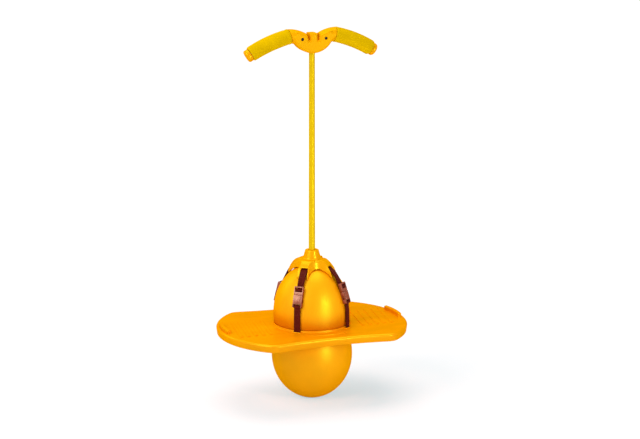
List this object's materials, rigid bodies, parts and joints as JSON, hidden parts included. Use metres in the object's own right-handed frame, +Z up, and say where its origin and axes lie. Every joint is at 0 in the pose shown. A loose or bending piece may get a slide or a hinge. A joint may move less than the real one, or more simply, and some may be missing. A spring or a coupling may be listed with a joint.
{
  "type": "pogo ball",
  "caption": "Hopping toy: an inflated ball pinched in a waisted foot deck, with a strapped-down claw, a tall rod and a T-handle with drooping foam grips.",
  "frame": {"origin": "on the ground, at the middle of the ball's contact patch", "axes": "+Z up along the rod; +X along the deck's long side and the handlebar; the foam grips sweep towards +Y, the back"},
  "size_m": [0.428, 0.2956, 0.8284],
  "materials": {
    "ball_skin": "satin inflated vinyl",
    "deck_plastic": "satin moulded plastic",
    "moulded_plastic": "glossy moulded plastic",
    "rod_paint": "gloss paint on steel tube",
    "grip_foam": "matt foam",
    "webbing": "woven webbing",
    "buckle_plastic": "glossy acetal",
    "valve_rubber": "matt rubber",
    "zinc_steel": "zinc plated"
  },
  "bodies": {
    "ball": {"ball": "ball_skin"},
    "board": {"deck": "deck_plastic", "claw": "moulded_plastic", "inflation_valve": "valve_rubber", "rod": "rod_paint", "rod_bolt": "zinc_steel", "rod_washer": "zinc_steel", "hub_front": "moulded_plastic", "hub_rear": "moulded_plastic", "hub_screw_left": "zinc_steel", "hub_screw_right": "zinc_steel", "left_handlebar": "zinc_steel", "right_handlebar": "zinc_steel", "left_grip": "grip_foam", "right_grip": "grip_foam", "left_end_cap": "moulded_plastic", "right_end_cap": "moulded_plastic", "upper_strap_1": "webbing", "lower_strap_1": "webbing", "buckle_1_socket": "buckle_plastic", "upper_strap_2": "webbing", "lower_strap_2": "webbing", "buckle_2_socket": "buckle_plastic", "upper_strap_3": "webbing", "lower_strap_3": "webbing", "buckle_3_socket": "buckle_plastic", "upper_strap_4": "webbing", "lower_strap_4": "webbing", "buckle_4_socket": "buckle_plastic"},
    "plug_1": {"buckle_1_plug": "buckle_plastic"},
    "latch_1_a": {"buckle_1_latch_a": "buckle_plastic"},
    "latch_1_b": {"buckle_1_latch_b": "buckle_plastic"},
    "plug_2": {"buckle_2_plug": "buckle_plastic"},
    "latch_2_a": {"buckle_2_latch_a": "buckle_plastic"},
    "latch_2_b": {"buckle_2_latch_b": "buckle_plastic"},
    "plug_3": {"buckle_3_plug": "buckle_plastic"},
    "latch_3_a": {"buckle_3_latch_a": "buckle_plastic"},
    "latch_3_b": {"buckle_3_latch_b": "buckle_plastic"},
    "plug_4": {"buckle_4_plug": "buckle_plastic"},
    "latch_4_a": {"buckle_4_latch_a": "buckle_plastic"},
    "latch_4_b": {"buckle_4_latch_b": "buckle_plastic"}
  },
  "joints": [
    {"name": "ball_bounce", "type": "slide", "parent": "ball", "child": "board", "axis": [0, 0, 1], "range_m": [-0.045, 0], "stiffness_N_per_m": 12500, "springref_m": 0.0035, "deforming": ["ball"]},
    {"name": "buckle_1_release", "type": "slide", "parent": "board", "child": "plug_1", "axis": [-0.1521, -0.2094, 0.9659], "range_m": [0, 0.02], "deforming": ["upper_strap_1", "buckle_1_latch_a", "buckle_1_latch_b"]},
    {"name": "buckle_1_squeeze_a", "type": "hinge", "parent": "plug_1", "child": "latch_1_a", "pos_m": [0.04522, 0.07278, 0.23179], "axis": [-0.5678, -0.7815, -0.2588], "range_deg": [0, 11], "stiffness_Nm_per_rad": 0.02},
    {"name": "buckle_1_squeeze_b", "type": "hinge", "parent": "plug_1", "child": "latch_1_b", "pos_m": [0.05525, 0.06549, 0.23179], "axis": [0.5678, 0.7815, 0.2588], "range_deg": [0, 11], "stiffness_Nm_per_rad": 0.02},
    {"name": "buckle_2_release", "type": "slide", "parent": "board", "child": "plug_2", "axis": [0.1521, -0.2094, 0.9659], "range_m": [0, 0.02], "deforming": ["upper_strap_2", "buckle_2_latch_a", "buckle_2_latch_b"]},
    {"name": "buckle_2_squeeze_a", "type": "hinge", "parent": "plug_2", "child": "latch_2_a", "pos_m": [-0.05525, 0.06549, 0.23179], "axis": [0.5678, -0.7815, -0.2588], "range_deg": [0, 11], "stiffness_Nm_per_rad": 0.02},
    {"name": "buckle_2_squeeze_b", "type": "hinge", "parent": "plug_2", "child": "latch_2_b", "pos_m": [-0.04522, 0.07278, 0.23179], "axis": [-0.5678, 0.7815, 0.2588], "range_deg": [0, 11], "stiffness_Nm_per_rad": 0.02},
    {"name": "buckle_3_release", "type": "slide", "parent": "board", "child": "plug_3", "axis": [0.2068, 0.2296, 0.9511], "range_m": [0, 0.02], "deforming": ["upper_strap_3", "buckle_3_latch_a", "buckle_3_latch_b"]},
    {"name": "buckle_3_squeeze_a", "type": "hinge", "parent": "plug_3", "child": "latch_3_a", "pos_m": [-0.04857, -0.06321, 0.24939], "axis": [0.6364, 0.7068, -0.309], "range_deg": [0, 11], "stiffness_Nm_per_rad": 0.02},
    {"name": "buckle_3_squeeze_b", "type": "hinge", "parent": "plug_3", "child": "latch_3_b", "pos_m": [-0.05779, -0.05491, 0.24939], "axis": [-0.6364, -0.7068, 0.309], "range_deg": [0, 11], "stiffness_Nm_per_rad": 0.02},
    {"name": "buckle_4_release", "type": "slide", "parent": "board", "child": "plug_4", "axis": [-0.2068, 0.2296, 0.9511], "range_m": [0, 0.02], "deforming": ["upper_strap_4", "buckle_4_latch_a", "buckle_4_latch_b"]},
    {"name": "buckle_4_squeeze_a", "type": "hinge", "parent": "plug_4", "child": "latch_4_a", "pos_m": [0.05779, -0.05491, 0.24939], "axis": [-0.6364, 0.7068, -0.309], "range_deg": [0, 11], "stiffness_Nm_per_rad": 0.02},
    {"name": "buckle_4_squeeze_b", "type": "hinge", "parent": "plug_4", "child": "latch_4_b", "pos_m": [0.04857, -0.06321, 0.24939], "axis": [0.6364, -0.7068, 0.309], "range_deg": [0, 11], "stiffness_Nm_per_rad": 0.02}
  ],
  "couplings": [
    {"joint": "buckle_1_squeeze_b", "follows": "buckle_1_squeeze_a", "ratio": 1},
    {"joint": "buckle_2_squeeze_b", "follows": "buckle_2_squeeze_a", "ratio": 1},
    {"joint": "buckle_3_squeeze_b", "follows": "buckle_3_squeeze_a", "ratio": 1},
    {"joint": "buckle_4_squeeze_b", "follows": "buckle_4_squeeze_a", "ratio": 1}
  ]
}
